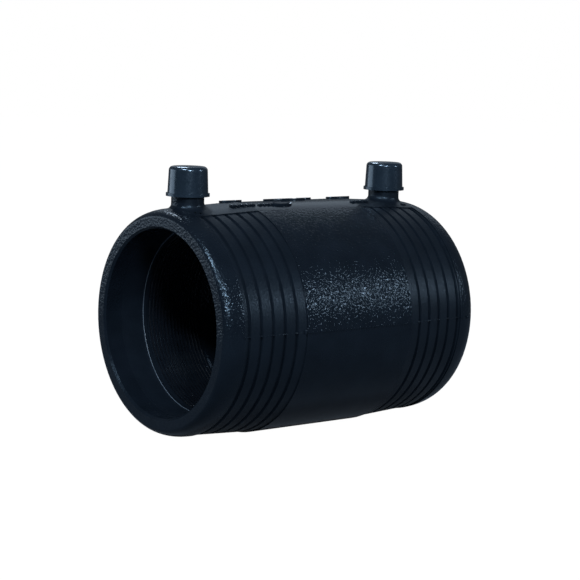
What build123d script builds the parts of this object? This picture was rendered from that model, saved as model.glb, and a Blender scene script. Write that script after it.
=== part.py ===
from build123d import *
from math import cos, pi, radians, sin, sqrt
import os

# Electrofusion coupler for 75 mm polyethylene pipe. Millimetres, X along the bore, +Z towards the terminals.

os.makedirs("parts", exist_ok=True)

# ---- Moulded body -------------------------------------------------------------
pipe_r = 37.5  # the pipe that is welded in
pipe_clearance = 0.5  # radial room over the coil, which has to stay small for the weld
entry_clearance = 1.8  # radial room in the cold zone at each mouth
body_r = 49.0  # outside of the plain zone round the middle
shoulder_drop = 1.6  # how much thinner the body is where the end rounding starts
half_length = 68.4
rounding_length = 7.9  # along the bore, from shoulder to end face
end_face_drop = 5.2  # from the outside in to the edge of the flat end face
mouth_chamfer = 0.9

# ---- Cooling grooves round each end ---------------------------------------------
groove_count = 5
groove_pitch = 5.85
groove_inset = 11.0  # last groove, from the end face
band_lead = 5.2  # band left before the first groove
groove_width = 1.2  # at its floor
groove_flare = 0.35  # extra width on each side at its mouth
groove_depth = 0.9
band_recess = 0.4  # the grooved band lies this far below the plain zone
band_margin = 0.9  # band left beyond the last groove
pad_half_angle = 17.3  # degrees each side of the crown kept smooth for the terminals

# ---- Mould parting line ----------------------------------------------------------
flash_height = 0.25
flash_width = 0.45

# ---- Fusion coil ------------------------------------------------------------------
wire_r = 0.3
coil_pitch = 1.75
coil_inset = 2.2  # outermost turn, from the end of the cold zone
coil_turns = 15
entry_length = 20.0  # cold zone at each mouth, up to its step in to the fusion zone
lip_width = 0.9  # ring left between the step and the coil recess
recess_margin = 1.2  # recess left beyond the innermost turn
recess_depth = 0.7
wire_gap = 0.06  # between the wire and the recess wall
steps_per_turn = 30
wire_sides = 4
bridge_slot_width = 1.4

# ---- Terminals ---------------------------------------------------------------------
terminal_inset = 13.9  # from the end face
shroud_r = 6.85
shroud_bore_r = 5.1
shroud_height = 13.8  # above the crown
shroud_depth = 15.5
shroud_sunk = 4.0  # how far the solid shroud starts below its floor, inside the wall
shroud_root_radius = 2.0
pin_r = 2.35  # 4.7 mm contact pin
pin_below_rim = 4.5
pin_root_depth = 4.6  # how far the pin is moulded in below the shroud floor
pin_flange_r = 3.4
pin_flange_thickness = 1.2
pin_chamfer = 0.5
lead_r = 0.65
lead_end_gap = 0.05  # between the wire's end and the foot of the pin

# ---- Fusion indicators ---------------------------------------------------------------
indicator_r = 1.5
indicator_well = 0.5
indicator_offset_x = 2.4
indicator_seat = 1.2  # depth of the well
indicator_rise = 0.5  # pip above the surface round it
indicator_angle = 12.8  # degrees from the crown, outside the root radius

# ---- Dust caps --------------------------------------------------------------------------
cap_clearance = 0.15
cap_wall = 1.45
cap_draft = 0.4  # how much slimmer the cap is at its top
cap_roof = 1.9
cap_skirt_gap = 3.4  # from the crown up to the skirt
cap_flange_r = 9.07
cap_flange_height = 1.3
cap_corner_radius = 1.7

# ---- Worked out from the sizes above ---------------------------------------------------------
bore_r = pipe_r + pipe_clearance
outside_r = body_r + 2  # clear of the body, where its cutters start
overcut = 0.1  # how far a cut runs past the face it opens
flash_root_r = (bore_r + body_r) / 2  # inside the wall
entry_r = pipe_r + entry_clearance
shoulder_r = body_r - shoulder_drop
end_face_r = body_r - end_face_drop
entry_end_x = half_length - entry_length
recess_outer_x = entry_end_x - lip_width
coil_start_x = entry_end_x - coil_inset
terminal_x = half_length - terminal_inset
shroud_top_z = body_r + shroud_height
cap_top_z = shroud_top_z + cap_roof
cap_bottom_z = body_r + cap_skirt_gap
shoulder_x = half_length - rounding_length
groove_xs = [half_length - groove_inset - i * groove_pitch for i in reversed(range(groove_count))]
plain_half = groove_xs[0] - band_lead
mouth_half = groove_width / 2 + groove_flare
band_end_x = groove_xs[-1] + mouth_half + band_margin
recess_r = bore_r + recess_depth
inside_r = bore_r - recess_depth  # cuts into the bore wall start here, in the open bore
coil_r = recess_r - wire_gap - wire_r
coil_end_x = coil_start_x - coil_turns * coil_pitch
recess_inner_x = coil_end_x - recess_margin
shroud_floor_z = shroud_top_z - shroud_depth
pin_top_z = shroud_top_z - pin_below_rim
pin_foot_z = shroud_floor_z - pin_root_depth
lead_end_z = pin_foot_z - wire_r - lead_end_gap
cap_inner_r = shroud_r + cap_clearance
cap_outer_r = cap_inner_r + cap_wall
sides = {"left": -1, "right": 1}


def outer_radius(x):
    """Radius of the body's outside between the plain zone and the shoulder."""
    along = max(0.0, abs(x) - plain_half) / (shoulder_x - plain_half)
    return body_r - shoulder_drop * along


def facing_angle(degrees_from_crown):
    """Plane through the bore axis whose Y axis points at an angle from the crown."""
    a = radians(90 + degrees_from_crown)
    return Plane(origin=(0, 0, 0), x_dir=(1, 0, 0), z_dir=(0, -sin(a), cos(a)))




# ---- Coupler body ---------------------------------------------------------------------------
with BuildPart() as coupler_body:
    with BuildSketch(Plane.XY):
        with BuildLine():
            crown = Polyline(
                (-shoulder_x, shoulder_r),
                (-plain_half, body_r),
                (plain_half, body_r),
                (shoulder_x, shoulder_r),
            )
            slope = shoulder_drop / (shoulder_x - plain_half)
            rounding_pull = 0.6 * rounding_length
            for side in sides.values():
                Bezier(
                    (side * shoulder_x, shoulder_r),
                    (
                        side * (shoulder_x + rounding_pull),
                        shoulder_r - rounding_pull * slope,
                    ),
                    (side * half_length, (shoulder_r + end_face_r) / 2),
                    (side * half_length, end_face_r),
                )
            Polyline(
                (-half_length, end_face_r),
                (-half_length, entry_r + mouth_chamfer),
                (-half_length + mouth_chamfer, entry_r),
                (-entry_end_x, entry_r),
                (-entry_end_x, bore_r),
                (entry_end_x, bore_r),
                (entry_end_x, entry_r),
                (half_length - mouth_chamfer, entry_r),
                (half_length, entry_r + mouth_chamfer),
                (half_length, end_face_r),
            )
        make_face()
    revolve(axis=Axis.X)

    # Terminal shrouds, with a rounded root where they stand on the crown
    with BuildSketch(Plane.XY.offset(shroud_floor_z - shroud_sunk)):
        with Locations(*[(s * terminal_x, 0) for s in sides.values()]):
            Circle(shroud_r)
    extrude(amount=shroud_top_z - shroud_floor_z + shroud_sunk)
    roots = [
        e
        for e in coupler_body.edges()
        if abs(abs(e.center().X) - terminal_x) < shroud_r + 1
        and shroud_floor_z - shroud_sunk < e.center().Z < body_r
        and abs(e.center().Y) < shroud_r + 0.1
        and abs(
            sqrt((abs((e @ 0.3).X) - terminal_x) ** 2 + (e @ 0.3).Y ** 2) - shroud_r
        )
        < 0.01
    ]
    fillet(roots, shroud_root_radius)

    # Parting line flash, standing proud of both flanks
    with BuildSketch(Plane.XY):
        with BuildLine():
            Polyline(
                (-shoulder_x, flash_root_r),
                (-shoulder_x, shoulder_r + flash_height),
                (-plain_half, body_r + flash_height),
                (plain_half, body_r + flash_height),
                (shoulder_x, shoulder_r + flash_height),
                (shoulder_x, flash_root_r),
                close=True,
            )
        make_face()
        mirror(about=Plane.XZ)
    extrude(amount=flash_width / 2, both=True)

    # Grooved bands: each is recessed, then grooved, from one edge of the pad round to the other
    for side in sides.values():
        with BuildSketch(facing_angle(pad_half_angle)):
            with BuildLine():
                Polyline(
                    (side * plain_half, body_r - band_recess),
                    (side * plain_half, outside_r),
                    (side * band_end_x, outside_r),
                    (side * band_end_x, outer_radius(band_end_x) - band_recess),
                    close=True,
                )
            make_face()
            for x in groove_xs:
                floor_r = outer_radius(x) - band_recess - groove_depth
                with BuildLine():
                    Polyline(
                        (side * (x - groove_width / 2), floor_r),
                        (side * (x + groove_width / 2), floor_r),
                        (side * (x + mouth_half), floor_r + groove_depth + overcut),
                        (side * (x - mouth_half), floor_r + groove_depth + overcut),
                        close=True,
                    )
                make_face()
        revolve(axis=Axis.X, revolution_arc=360 - 2 * pad_half_angle, mode=Mode.SUBTRACT)

    # Coil recesses inside the bore, joined by a slot for the wire between them
    with BuildSketch(Plane.XY):
        for side in sides.values():
            with Locations((side * (recess_outer_x + recess_inner_x) / 2, (recess_r + inside_r) / 2)):
                Rectangle(recess_outer_x - recess_inner_x, recess_r - inside_r)
    revolve(axis=Axis.X, mode=Mode.SUBTRACT)
    with BuildSketch(Plane.YZ):
        with Locations((0, (recess_r + inside_r) / 2)):
            Rectangle(bridge_slot_width, recess_r - inside_r)
    extrude(amount=recess_inner_x + overcut, both=True, mode=Mode.SUBTRACT)

    # Shroud bores and the pockets that the pins are moulded into
    with BuildSketch(Plane.XY.offset(shroud_floor_z)):
        with Locations(*[(s * terminal_x, 0) for s in sides.values()]):
            Circle(shroud_bore_r)
    extrude(amount=shroud_depth + 1, mode=Mode.SUBTRACT)
    with BuildSketch(Plane.XY.offset(pin_foot_z)):
        with Locations(*[(s * terminal_x, 0) for s in sides.values()]):
            Circle(pin_r)
    extrude(amount=pin_root_depth + 1, mode=Mode.SUBTRACT)
    with BuildSketch(Plane.XY.offset(pin_foot_z)):
        with Locations(*[(s * terminal_x, 0) for s in sides.values()]):
            Circle(pin_flange_r)
    extrude(amount=pin_flange_thickness, mode=Mode.SUBTRACT)

    # Slanted channels that carry the wire ends up to the pins
    for side in sides.values():
        start = Vector(side * coil_start_x, 0, coil_r)
        end = Vector(side * terminal_x, 0, pin_foot_z)
        with BuildSketch(Plane(origin=start, z_dir=end - start)):
            Circle(lead_r)
        extrude(amount=(end - start).length + overcut, mode=Mode.SUBTRACT)

    # Wells of the fusion indicators
    indicator_x = terminal_x + indicator_offset_x
    for side in sides.values():
        well = facing_angle(indicator_angle)
        seat = well.from_local_coords((side * indicator_x, outer_radius(indicator_x) - indicator_seat, 0))
        with BuildSketch(Plane(origin=seat, z_dir=well.y_dir)):
            Circle(indicator_r)
        extrude(amount=2 * indicator_seat, mode=Mode.SUBTRACT)
        with BuildSketch(Plane(origin=seat, z_dir=well.y_dir)):
            Circle(indicator_r - indicator_well)
        extrude(amount=indicator_seat + indicator_rise)

coupler_body.part.label = "coupler_body"
export_step(coupler_body.part, "parts/coupler_body.step")

# ---- Heating wire: coil, bridge, coil and the two ends up to the pins ---------------------------
turn_angle = 2 * pi / steps_per_turn
route = [(-terminal_x, 0, lead_end_z), (-coil_start_x, 0, coil_r)]
for side in (-1, 1):
    coil = []
    for i in range(1, coil_turns * steps_per_turn + 1):
        a = i * turn_angle
        x = side * (coil_start_x - coil_pitch * i / steps_per_turn)
        coil.append((x, -side * coil_r * sin(a), coil_r * cos(a)))
    if side > 0:
        coil = coil[::-1] + [(coil_start_x, 0, coil_r)]
    route += coil
route += [(terminal_x, 0, lead_end_z)]
lead_direction = Vector(*route[1]) - Vector(*route[0])

with BuildPart() as heating_wire:
    with BuildLine():
        path = Polyline(*route)
    with BuildSketch(Plane(origin=route[0], z_dir=lead_direction)):
        RegularPolygon(wire_r, wire_sides)
    sweep(path=path, transition=Transition.RIGHT)

heating_wire.part.label = "heating_wire"
export_step(heating_wire.part, "parts/heating_wire.step")

# ---- Contact pins -----------------------------------------------------------------------------------
for name, side in sides.items():
    with BuildPart() as terminal_pin:
        with BuildSketch(Plane.XY.offset(pin_foot_z)):
            with Locations((side * terminal_x, 0)):
                Circle(pin_flange_r)
        extrude(amount=pin_flange_thickness)
        with BuildSketch(Plane.XY.offset(pin_foot_z)):
            with Locations((side * terminal_x, 0)):
                Circle(pin_r)
        extrude(amount=pin_top_z - pin_foot_z)
        chamfer(terminal_pin.edges().group_by(Axis.Z)[-1], pin_chamfer)
    terminal_pin.part.label = f"terminal_pin_{name}"
    export_step(terminal_pin.part, f"parts/terminal_pin_{name}.step")

# ---- Dust caps ----------------------------------------------------------------------------------------
for name, side in sides.items():
    with BuildPart() as terminal_cap:
        with BuildSketch(Plane.XZ):
            with BuildLine():
                Polyline(
                    (0, cap_top_z),
                    (cap_outer_r - cap_draft - cap_corner_radius, cap_top_z),
                )
                RadiusArc(
                    (cap_outer_r - cap_draft - cap_corner_radius, cap_top_z),
                    (cap_outer_r - cap_draft, cap_top_z - cap_corner_radius),
                    cap_corner_radius,
                )
                Polyline(
                    (cap_outer_r - cap_draft, cap_top_z - cap_corner_radius),
                    (cap_outer_r, cap_bottom_z + cap_flange_height),
                    (cap_flange_r, cap_bottom_z + cap_flange_height),
                    (cap_flange_r, cap_bottom_z),
                    (cap_inner_r, cap_bottom_z),
                    (cap_inner_r, shroud_top_z),
                    (0, shroud_top_z),
                    (0, cap_top_z),
                )
            make_face()
        revolve(axis=Axis.Z)
    terminal_cap.part.label = f"terminal_cap_{name}"
    terminal_cap.part.position = (side * terminal_x, 0, 0)
    export_step(terminal_cap.part, f"parts/terminal_cap_{name}.step")
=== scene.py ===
import math
import bmesh
import bpy
from mathutils import Matrix, Vector


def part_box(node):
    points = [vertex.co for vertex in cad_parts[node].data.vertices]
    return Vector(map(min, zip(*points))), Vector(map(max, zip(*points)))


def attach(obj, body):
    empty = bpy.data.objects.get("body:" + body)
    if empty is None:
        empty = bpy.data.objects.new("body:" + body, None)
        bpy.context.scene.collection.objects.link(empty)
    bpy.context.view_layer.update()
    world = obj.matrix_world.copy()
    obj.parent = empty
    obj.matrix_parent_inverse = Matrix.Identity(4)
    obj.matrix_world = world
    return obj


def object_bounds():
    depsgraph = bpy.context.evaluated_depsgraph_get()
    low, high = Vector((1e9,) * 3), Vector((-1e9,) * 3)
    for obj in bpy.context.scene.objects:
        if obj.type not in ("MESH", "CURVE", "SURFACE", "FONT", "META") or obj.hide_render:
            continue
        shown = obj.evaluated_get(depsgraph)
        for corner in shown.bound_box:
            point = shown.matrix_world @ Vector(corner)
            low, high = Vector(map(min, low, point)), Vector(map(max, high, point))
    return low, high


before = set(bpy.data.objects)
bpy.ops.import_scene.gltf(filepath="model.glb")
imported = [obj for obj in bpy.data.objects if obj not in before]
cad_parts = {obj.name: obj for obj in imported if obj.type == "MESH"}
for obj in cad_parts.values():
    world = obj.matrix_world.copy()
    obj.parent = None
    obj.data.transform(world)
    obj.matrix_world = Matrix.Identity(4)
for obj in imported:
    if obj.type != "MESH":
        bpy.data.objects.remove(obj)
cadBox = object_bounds()
mm = 0.001
print("frame loaded")

# sizes of the coupler that the pieces here follow, in millimetres
halfLength = round(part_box("coupler_body")[1].x / mm, 3)
coupler = {
    "bodyRadius": 49.0,
    "plainHalf": 28.8,     # the plain zone round the middle ends here
    "shoulderX": halfLength - 7.9,
    "shoulderRadius": 47.4,
    "bandEndX": halfLength - 9.2,
    "bandRecess": 0.4,     # the grooved bands lie this far below the plain zone
    "padHalfAngle": 17.3,  # degrees each side of the crown
    "entryEndX": halfLength - 20.0,
    "entryRadius": 39.3,   # bore of the cold zone at each mouth
}


def toLinear(hexColour):
    # sRGB hex to the linear colour that the shaders take
    channels = [int(hexColour[i:i + 2], 16) / 255 for i in (1, 3, 5)]
    return [c / 12.92 if c <= 0.04045 else ((c + 0.055) / 1.055) ** 2.4 for c in channels] + [1.0]


def addNode(tree, kind, settings=None, **links):
    # a node with its settings and inputs: a value is set on the socket, a socket is linked to it
    node = tree.nodes.new(kind)
    for name, value in (settings or {}).items():
        setattr(node, name, value)
    for name, value in links.items():
        numbered = name[0] == "i" and name[1:].isdigit()
        socket = node.inputs[int(name[1:]) if numbered else name.replace("_", " ")]
        if isinstance(value, bpy.types.NodeSocket):
            tree.links.new(value, socket)
        else:
            socket.default_value = value
    return node


def mathOf(tree, operation, *values):
    links = {f"i{number}": value for number, value in enumerate(values)}
    return addNode(tree, "ShaderNodeMath", {"operation": operation}, **links).outputs[0]


def rampOf(tree, value, start, end, atStart, atEnd):
    ramp = addNode(tree, "ShaderNodeMapRange", Value=value, From_Min=start, From_Max=end,
                   To_Min=atStart, To_Max=atEnd)
    return ramp.outputs[0]


def objectPlace(tree):
    return addNode(tree, "ShaderNodeTexCoord").outputs["Object"]


def noiseOf(tree, coords, width, **settings):
    # noise with cells about this many millimetres wide
    noise = addNode(tree, "ShaderNodeTexNoise", Vector=coords, Scale=1 / (width * mm), **settings)
    return noise.outputs["Fac"]


def toneOf(tree, share, plastic):
    # the colour of a plastic, drifting slightly towards its bloom
    mixed = addNode(tree, "ShaderNodeMix", {"data_type": "RGBA"}, i0=share, i6=toLinear(plastic["colour"]),
                    i7=toLinear(plastic["bloom"]))
    return mixed.outputs[2]


def skinOf(tree, plastic, tone, gloss, bump):
    shader = addNode(tree, "ShaderNodeBsdfPrincipled", Base_Color=tone, Roughness=gloss, IOR=plasticIor,
                     Specular_IOR_Level=plastic["shine"], Specular_Tint=toLinear(plastic["sheenTint"]),
                     Normal=bump)
    return shader.outputs[0]


def newMaterial(name):
    material = bpy.data.materials.new(name)
    material.use_nodes = True
    material.node_tree.nodes.clear()
    return material, material.node_tree


def finishMaterial(tree, shader):
    output = addNode(tree, "ShaderNodeOutputMaterial")
    tree.links.new(shader, output.inputs["Surface"])


def dress(node, material):
    # a CAD node keeps its mesh and gets this finish on all its slots
    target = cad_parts[node]
    if not target.material_slots:
        target.data.materials.append(material)
    for slot in target.material_slots:
        slot.material = material


plasticIor = 1.5

# Black polyethylene, PE100: carbon black thermoplastic, deep black with a cold cast, that glints on its grain
polyethylene = {
    "colour": "#080c11",
    "bloom": "#0f141a",      # paler patches where the skin cooled slower
    "sheenTint": "#bfd8ea",  # cold cast of the skin where it shines
    "shine": 0.18,           # specular level
    "roughness": 0.15,
    "glossVariation": 0.04,
    "grainWidth": 0.85,      # mm across a pebble of the spark eroded grain and its hollow
    "grainDepth": 0.28,      # mm, from the lowest to the highest that the noise allows
    "waveWidth": 9.0,        # mm, sink and flow of a thick moulding
    "waveDepth": 0.1,        # mm
    "bandRoughness": 0.28,   # added on the bands, whose grain is too fine to draw
    "bandGrain": 0.22,       # share of the grain left on the grooved bands
    "padGrain": 0.10,        # and on the pad under the terminals
    "lowerGrain": 0.22,      # and in the lower half of the mould
    "endGrain": 0.75,        # and on the end roundings
    "plainBlend": (-0.3, 0.1),  # mm past the plain zone's edge, from and to
    "endBlend": (0.0, 0.8),     # mm past the grooved band's edge
    "splitBlend": (-4.0, 2.0),  # mm above the parting line
    "padBlend": 0.01,           # radians each side of the pad's edge
}


def sparkErodedPolyethylene():
    # pebbly grain on the plain zone and the end roundings, smoother on the pad, the bands and the lower half
    p = polyethylene
    material, tree = newMaterial("Black polyethylene, spark eroded moulding")
    coords = objectPlace(tree)
    place = addNode(tree, "ShaderNodeSeparateXYZ", Vector=coords)
    alongX = mathOf(tree, "ABSOLUTE", place.outputs["X"])
    plainFrom, plainTo = [(coupler["plainHalf"] + past) * mm for past in p["plainBlend"]]
    inPlain = rampOf(tree, alongX, plainFrom, plainTo, 1.0, p["bandGrain"])
    endFrom, endTo = [(coupler["bandEndX"] + past) * mm for past in p["endBlend"]]
    inEnd = rampOf(tree, alongX, endFrom, endTo, 0.0, p["endGrain"])
    zone = mathOf(tree, "MAXIMUM", inPlain, inEnd)
    across = mathOf(tree, "ABSOLUTE", place.outputs["Y"])
    fromCrown = mathOf(tree, "ARCTAN2", across, place.outputs["Z"])
    padEdge = math.radians(coupler["padHalfAngle"])
    onPad = rampOf(tree, fromCrown, padEdge - p["padBlend"], padEdge + p["padBlend"], p["padGrain"], 1.0)
    offEnd = mathOf(tree, "MAXIMUM", onPad, inEnd)
    splitFrom, splitTo = [above * mm for above in p["splitBlend"]]
    belowSplit = rampOf(tree, place.outputs["Z"], splitFrom, splitTo, p["lowerGrain"], 1.0)
    amount = mathOf(tree, "MULTIPLY", zone, offEnd)
    amount = mathOf(tree, "MULTIPLY", amount, belowSplit)

    pebbles = noiseOf(tree, coords, p["grainWidth"], Detail=0.5, Roughness=0.5, Distortion=0.4)
    waves = noiseOf(tree, coords, p["waveWidth"], Detail=1.0)
    waveBump = addNode(tree, "ShaderNodeBump", Height=waves, Distance=p["waveDepth"] * mm)
    bump = addNode(tree, "ShaderNodeBump", Height=pebbles, Strength=amount, Distance=p["grainDepth"] * mm,
                   Normal=waveBump.outputs["Normal"])

    gloss = rampOf(tree, pebbles, 0.35, 0.65, p["roughness"] + p["glossVariation"],
                   p["roughness"] - p["glossVariation"])
    smoothZone = mathOf(tree, "SUBTRACT", 1.0, zone)
    gloss = mathOf(tree, "MULTIPLY_ADD", smoothZone, p["bandRoughness"], gloss)
    finishMaterial(tree, skinOf(tree, p, toneOf(tree, waves, p), gloss, bump.outputs["Normal"]))
    return material


# Painted highlight: this pale grey stands for the light that the edge of the step inside each mouth catches
paintedHighlightEdge = {"colour": "#414951", "patchWidth": 6.0, "smooth": 0.3, "rough": 0.5}


def paintedHighlightPolyethylene():
    material, tree = newMaterial("Black polyethylene, painted highlight edge")
    patches = noiseOf(tree, objectPlace(tree), paintedHighlightEdge["patchWidth"], Detail=2.0)
    gloss = rampOf(tree, patches, 0.3, 0.7, paintedHighlightEdge["smooth"], paintedHighlightEdge["rough"])
    # the pale base colour is a painted highlight, not the plastic's own colour
    shader = addNode(tree, "ShaderNodeBsdfPrincipled", Base_Color=toLinear(paintedHighlightEdge["colour"]),
                     Roughness=gloss, IOR=plasticIor)
    finishMaterial(tree, shader.outputs[0])
    return material


# Cap: injection moulded low density polyethylene, dark blue-grey, satin
capPlastic = {
    "colour": "#0d141a",
    "bloom": "#151d25",
    "sheenTint": "#c8dcec",
    "shine": 0.7,
    "roughness": 0.22,
    "glossVariation": 0.05,
    "grainWidth": 1.0,   # mm
    "grainDepth": 0.02,  # mm
    "cloudWidth": 7.0,   # mm
}


def satinCapPlastic():
    p = capPlastic
    material, tree = newMaterial("Low density polyethylene, satin moulded cap")
    coords = objectPlace(tree)
    grain = noiseOf(tree, coords, p["grainWidth"], Detail=2.0)
    bump = addNode(tree, "ShaderNodeBump", Height=grain, Strength=0.6, Distance=p["grainDepth"] * mm)
    gloss = rampOf(tree, grain, 0.3, 0.7, p["roughness"] - p["glossVariation"],
                   p["roughness"] + p["glossVariation"])
    clouds = noiseOf(tree, coords, p["cloudWidth"], Detail=2.0)
    finishMaterial(tree, skinOf(tree, p, toneOf(tree, clouds, p), gloss, bump.outputs["Normal"]))
    return material


# Tinned brass: turned pin with a thin dull tin plate, with the tool's marks this many millimetres apart
tin = {"colour": "#c9c5b4", "roughness": 0.32, "toolPitch": 0.4, "toolDepth": 0.01}
waveTurn = 6.3  # the wave texture's bands repeat once in this many radians


def tinnedBrass():
    material, tree = newMaterial("Brass, tin plated, turned")
    turned = addNode(tree, "ShaderNodeTexWave", {"bands_direction": "Z"}, Vector=objectPlace(tree),
                     Scale=1 / (tin["toolPitch"] * mm) / waveTurn, Distortion=1.0)
    bump = addNode(tree, "ShaderNodeBump", Height=turned.outputs["Fac"], Strength=0.3,
                   Distance=tin["toolDepth"] * mm)
    shader = addNode(tree, "ShaderNodeBsdfPrincipled", Base_Color=toLinear(tin["colour"]), Metallic=1.0,
                     Roughness=tin["roughness"], Normal=bump.outputs["Normal"])
    finishMaterial(tree, shader.outputs[0])
    return material


# Copper-nickel resistance wire, drawn and dulled, under a skin of polyethylene
wireSkin = {"colour": "#0a0d12", "shine": 0.5, "patchWidth": 4.0, "smooth": 0.2, "rough": 0.4}


def coatedWire():
    material, tree = newMaterial("Copper nickel wire, drawn, polyethylene coated")
    patches = noiseOf(tree, objectPlace(tree), wireSkin["patchWidth"], Detail=2.0)
    gloss = rampOf(tree, patches, 0.3, 0.7, wireSkin["smooth"], wireSkin["rough"])
    shader = addNode(tree, "ShaderNodeBsdfPrincipled", Base_Color=toLinear(wireSkin["colour"]),
                     Roughness=gloss, IOR=plasticIor, Specular_IOR_Level=wireSkin["shine"])
    finishMaterial(tree, shader.outputs[0])
    return material


body = sparkErodedPolyethylene()
cap = satinCapPlastic()
brass = tinnedBrass()
wire = coatedWire()
dress("coupler_body", body)
dress("heating_wire", wire)
for side in ("left", "right"):
    dress("terminal_pin_" + side, brass)
    dress("terminal_cap_" + side, cap)
print("CAD nodes dressed")

# floor, white surround and the light all round
studio = {
    "floorColour": "#5f656c",  # as the paper is to light that bounces off it
    "lampColour": "#d8eafc",   # cool daylight tubes
    "ambient": 0.13,           # strength of the light from all round
    "mirroredWhite": 0.025,    # of the floor's white that shows in the coupler's skin
    "shadowShare": 0.12,       # of the floor that camera rays see lit and shaded
    "floorSize": 6.0,          # metres
    "floorDrop": 0.0004,       # metres under the body
}


def whiteFloor():
    material, tree = newMaterial("Paper, matt white sweep")
    paths = addNode(tree, "ShaderNodeLightPath")
    # a mirror of the floor is mostly of its shaded part under the coupler, so it shows a share of the white
    mirrored = mathOf(tree, "MULTIPLY", paths.outputs["Is Glossy Ray"], studio["mirroredWhite"])
    seen = mathOf(tree, "MAXIMUM", paths.outputs["Is Camera Ray"], mirrored)
    seen = mathOf(tree, "MAXIMUM", seen, paths.outputs["Is Transmission Ray"])
    unshaded = 1 - studio["shadowShare"]
    seen = mathOf(tree, "MULTIPLY", seen, unshaded)
    paper = addNode(tree, "ShaderNodeBsdfDiffuse", Color=toLinear(studio["floorColour"])).outputs[0]
    white = addNode(tree, "ShaderNodeEmission", Color=toLinear("#ffffff"), Strength=1 / unshaded).outputs[0]
    mixed = addNode(tree, "ShaderNodeMixShader", i0=seen, i1=paper, i2=white).outputs[0]
    finishMaterial(tree, mixed)
    return material


def selectOnly(piece):
    bpy.ops.object.select_all(action="DESELECT")
    piece.select_set(True)
    bpy.context.view_layer.objects.active = piece


def softenEdges(piece, width, segments=2):
    bevel = piece.modifiers.new("soften", "BEVEL")
    bevel.width = width * mm
    bevel.segments = segments
    bevel.limit_method = "ANGLE"
    bpy.context.view_layer.objects.active = piece
    bpy.ops.object.modifier_apply(modifier=bevel.name)


def plainBox(name, size, place):
    # a box of this size in millimetres about this place, its scale applied
    bpy.ops.object.select_all(action="DESELECT")
    bpy.ops.mesh.primitive_cube_add(size=1, location=[p * mm for p in place])
    piece = bpy.context.object
    piece.name = name
    piece.scale = [s * mm for s in size]
    bpy.ops.object.transform_apply(location=True, rotation=False, scale=True)
    return piece


# raised marks on the pad: plain bars and ovals that stand for no name
marks = {
    "height": 0.75,       # mm proud of the pad
    "sunk": 0.6,          # mm set into the pad, so that none floats
    "rounding": 0.22,
    "ovalRounding": 0.154,
    "rimWidth": 0.8,      # of an oval's raised rim
    "moatWidth": 0.5,     # between the rim and the raised middle
    "moatDepth": 0.525,
}
# along the bore from and to, degrees from the crown towards the front, width across, all as moulded
padBars = {
    "nearLeft": [(-38.2 + i * 2.6, -36.3 + i * 2.6, 9.4, 2.4) for i in range(5)],
    "nearMiddle": [(-23.6 + i * 2.3, -22.2 + i * 2.3, 9.6, 2.0) for i in range(3)],
    "nearRight": [(27.5 + i * 2.4, 29.2 + i * 2.4, 10.5, 2.3) for i in range(4)],
    "crownMiddle": [(-12.0, 4.0, -3.6, 0.9), (7.0, 15.0, -4.6, 0.9), (-4.0, 9.0, -1.0, 0.8)],
}
# middle along the bore, degrees from the crown towards the front, length, width
padOvals = {
    "crownLeft": (-29.0, -5.0, 11.5, 5.0),
    "nearOval": (-11.5, 9.8, 11.0, 4.8),
    "crownRight": (31.0, -5.0, 13.0, 5.2),
}
markThickness = marks["height"] + marks["sunk"]
markMiddle = (marks["height"] - marks["sunk"]) / 2


def wrapOnPad(piece, middleX, degrees):
    # lays a flat shape, drawn about the origin with Z up, on the pad at its place
    for v in piece.data.vertices:
        radius = coupler["bodyRadius"] * mm + v.co.z
        angle = math.radians(degrees) - v.co.y / (coupler["bodyRadius"] * mm)
        v.co = (v.co.x + middleX * mm, -radius * math.sin(angle), radius * math.cos(angle))


def raisedBar(name, x0, x1, degrees, width):
    bar = plainBox(name, (x1 - x0, width, markThickness), (0, 0, markMiddle))
    softenEdges(bar, marks["rounding"])
    wrapOnPad(bar, (x0 + x1) / 2, degrees)
    return bar


def raisedOval(name, middleX, degrees, length, width):
    # a low oval with a raised rim and a raised middle
    bpy.ops.object.select_all(action="DESELECT")
    bpy.ops.mesh.primitive_cylinder_add(vertices=40, radius=0.5, depth=1, location=(0, 0, 0))
    oval = bpy.context.object
    oval.name = name
    oval.scale = (length * mm, width * mm, markThickness * mm)
    oval.location = (0, 0, markMiddle * mm)
    bpy.ops.object.transform_apply(location=True, rotation=False, scale=True)
    bpy.ops.object.mode_set(mode="EDIT")
    bpy.ops.mesh.select_mode(type="FACE")
    bpy.ops.mesh.select_all(action="DESELECT")
    mesh = bmesh.from_edit_mesh(oval.data)
    for face in mesh.faces:
        face.select = face.normal.z > 0.9
    bmesh.update_edit_mesh(oval.data)
    bpy.ops.mesh.inset(thickness=marks["rimWidth"] * mm)
    bpy.ops.transform.translate(value=(0, 0, -marks["moatDepth"] * mm))
    bpy.ops.mesh.inset(thickness=marks["moatWidth"] * mm)
    bpy.ops.transform.translate(value=(0, 0, marks["moatDepth"] * mm))
    bpy.ops.object.mode_set(mode="OBJECT")
    softenEdges(oval, marks["ovalRounding"])
    wrapOnPad(oval, middleX, degrees)
    return oval


# flash that the mould's halves leave across a grooved band
ribs = {"depth": 1.8, "thickness": 0.45, "rounding": 0.15, "clearOfPlain": 0.3, "clearOfEnd": 0.3}


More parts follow.
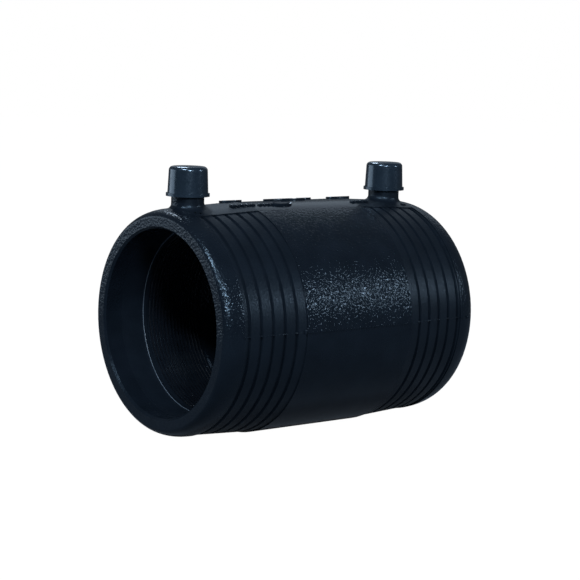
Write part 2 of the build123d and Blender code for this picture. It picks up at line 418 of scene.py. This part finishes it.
def partingRib(name, side, face):
    # side is the end of the coupler, face its front or its back
    long = coupler["bandEndX"] - coupler["plainHalf"] - ribs["clearOfPlain"] - ribs["clearOfEnd"]
    rib = plainBox(name, (long, ribs["depth"], ribs["thickness"]), (0, 0, 0))
    softenEdges(rib, ribs["rounding"])
    middle = coupler["plainHalf"] + ribs["clearOfPlain"] + long / 2
    drop = coupler["bodyRadius"] - coupler["shoulderRadius"]
    tilt = math.atan2(drop, coupler["shoulderX"] - coupler["plainHalf"])
    surface = coupler["bodyRadius"] - (middle - coupler["plainHalf"]) * math.tan(tilt)
    rib.rotation_euler = (0, 0, -side * face * tilt)
    inwards = surface - coupler["bandRecess"] - ribs["depth"] / 2
    rib.location = (side * middle * mm, face * inwards * mm, 0)
    selectOnly(rib)
    bpy.ops.object.transform_apply(location=True, rotation=True, scale=False)
    return rib


# nibs on the parting line at the front: place, then size
nibs = {
    "parting_nib_right": ((halfLength - 4.8, -47.1, 0), (1.6, 1.4, 0.7)),
    "parting_nib_left": ((-coupler["plainHalf"] - 0.8, -48.6, 0.3), (1.2, 1.0, 2.0)),
}
nibRounding = 0.2
smoothAngle = 35  # degrees, sharper edges stay crisp

# witness line that the core leaves on the step inside each mouth, coloured pale as a painted highlight along
# the step's edge
coreWitness = {"radius": 0.22, "offWall": 0.12, "intoStep": 0.05}


def coreRing(name, side):
    bpy.ops.object.select_all(action="DESELECT")
    x = side * (coupler["entryEndX"] - coreWitness["intoStep"])
    bpy.ops.mesh.primitive_torus_add(major_radius=(coupler["entryRadius"] - coreWitness["offWall"]) * mm,
                                     minor_radius=coreWitness["radius"] * mm,
                                     major_segments=160, minor_segments=8,
                                     rotation=(0, math.pi / 2, 0), location=(x * mm, 0, 0))
    ring = bpy.context.object
    ring.name = name
    bpy.ops.object.transform_apply(location=True, rotation=True, scale=True)
    return ring


added = []
for group, bars in padBars.items():
    for number, (x0, x1, degrees, width) in enumerate(bars):
        added.append(raisedBar(f"mark_{group}_{number + 1}", x0, x1, degrees, width))
for name, (middleX, degrees, length, width) in padOvals.items():
    added.append(raisedOval(f"mark_{name}", middleX, degrees, length, width))
ends = {"left": -1, "right": 1}
for end, side in ends.items():
    for face, where in ((-1, "front"), (1, "back")):
        added.append(partingRib(f"parting_rib_{end}_{where}", side, face))
for name, (place, size) in nibs.items():
    nib = plainBox(name, size, place)
    softenEdges(nib, nibRounding)
    added.append(nib)
rings = [coreRing(f"core_ring_{end}", side) for end, side in ends.items()]
for ring in rings:
    # the rings take the pale colour that paints the step's highlight
    ring.data.materials.append(paintedHighlightPolyethylene())
for piece in added:
    piece.data.materials.append(body)
for piece in added + rings:
    selectOnly(piece)
    bpy.ops.object.shade_smooth_by_angle(angle=math.radians(smoothAngle))
    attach(piece, "root")
print("marks, ribs, nibs and rings added:", len(added + rings))

bpy.ops.object.select_all(action="DESELECT")
bpy.ops.mesh.primitive_plane_add(size=studio["floorSize"], location=(0, 0, cadBox[0][2] - studio["floorDrop"]))
floor = bpy.context.object
floor.name = "floor"
floor.data.materials.append(whiteFloor())

# world: white to the camera, plain pale light to all else
world = bpy.data.worlds.new("studio")
bpy.context.scene.world = world
world.use_nodes = True
sky = world.node_tree
sky.nodes.clear()
paths = addNode(sky, "ShaderNodeLightPath")
ambient = addNode(sky, "ShaderNodeBackground", Color=toLinear(studio["lampColour"]),
                  Strength=studio["ambient"]).outputs[0]
backdrop = addNode(sky, "ShaderNodeBackground", Color=toLinear("#ffffff"), Strength=1.0).outputs[0]
pick = addNode(sky, "ShaderNodeMixShader", i0=paths.outputs["Is Camera Ray"], i1=ambient, i2=backdrop)
worldOut = addNode(sky, "ShaderNodeOutputWorld")
sky.links.new(pick.outputs[0], worldOut.inputs["Surface"])

# soft lamps, all aimed at the middle of the bore: place, width and height in metres, watts
softboxes = {
    "keySoftbox": ((0.83, -0.93, 0.40), 0.22, 0.08, 4.0),
    "frontSoftbox": ((-0.45, -0.95, 0.50), 0.20, 0.14, 13.0),
    "archSoftbox": ((-0.80, -0.35, 0.90), 0.22, 0.14, 16.0),
    "topSoftbox": ((0.75, 0.75, 0.52), 0.9, 0.35, 0.45),
    "rimSoftbox": ((-0.75, 0.90, 0.10), 0.9, 0.5, 4.0),
    "backSoftbox": ((0.30, 0.80, 1.00), 0.3, 0.25, 9.0),
}
for name, (place, width, height, watts) in softboxes.items():
    light = bpy.data.lights.new(name, "AREA")
    light.color = toLinear(studio["lampColour"])[:3]
    light.shape = "RECTANGLE"
    light.size = width
    light.size_y = height
    light.energy = watts
    lamp = bpy.data.objects.new(name, light)
    bpy.context.collection.objects.link(lamp)
    lamp.location = place
    lamp.rotation_euler = (-Vector(place)).to_track_quat("-Z", "Y").to_euler()
print("stage lit")

# camera
lens = {
    "place": (-0.5049, -0.6131, 0.1124),
    "aim": (0.0020, 0.00044, 0.00984),
    "focal": 114.5,
    "rollAboutBore": 2.58,  # degrees that the coupler leans towards the lens
}
camera = bpy.data.cameras.new("camera")
camera.lens = lens["focal"]
camera.sensor_width = 36
shot = bpy.data.objects.new("camera", camera)
bpy.context.collection.objects.link(shot)
bpy.context.scene.camera = shot
back = (Vector(lens["place"]) - Vector(lens["aim"])).normalized()
lean = math.radians(lens["rollAboutBore"])
upright = Vector((0, math.sin(lean), math.cos(lean)))
right = upright.cross(back).normalized()
top = back.cross(right)
rows = [[right[i], top[i], back[i], lens["place"][i]] for i in range(3)]
shot.matrix_world = Matrix(rows + [[0, 0, 0, 1]])
bpy.context.scene.view_settings.view_transform = "Standard"
print("camera placed")
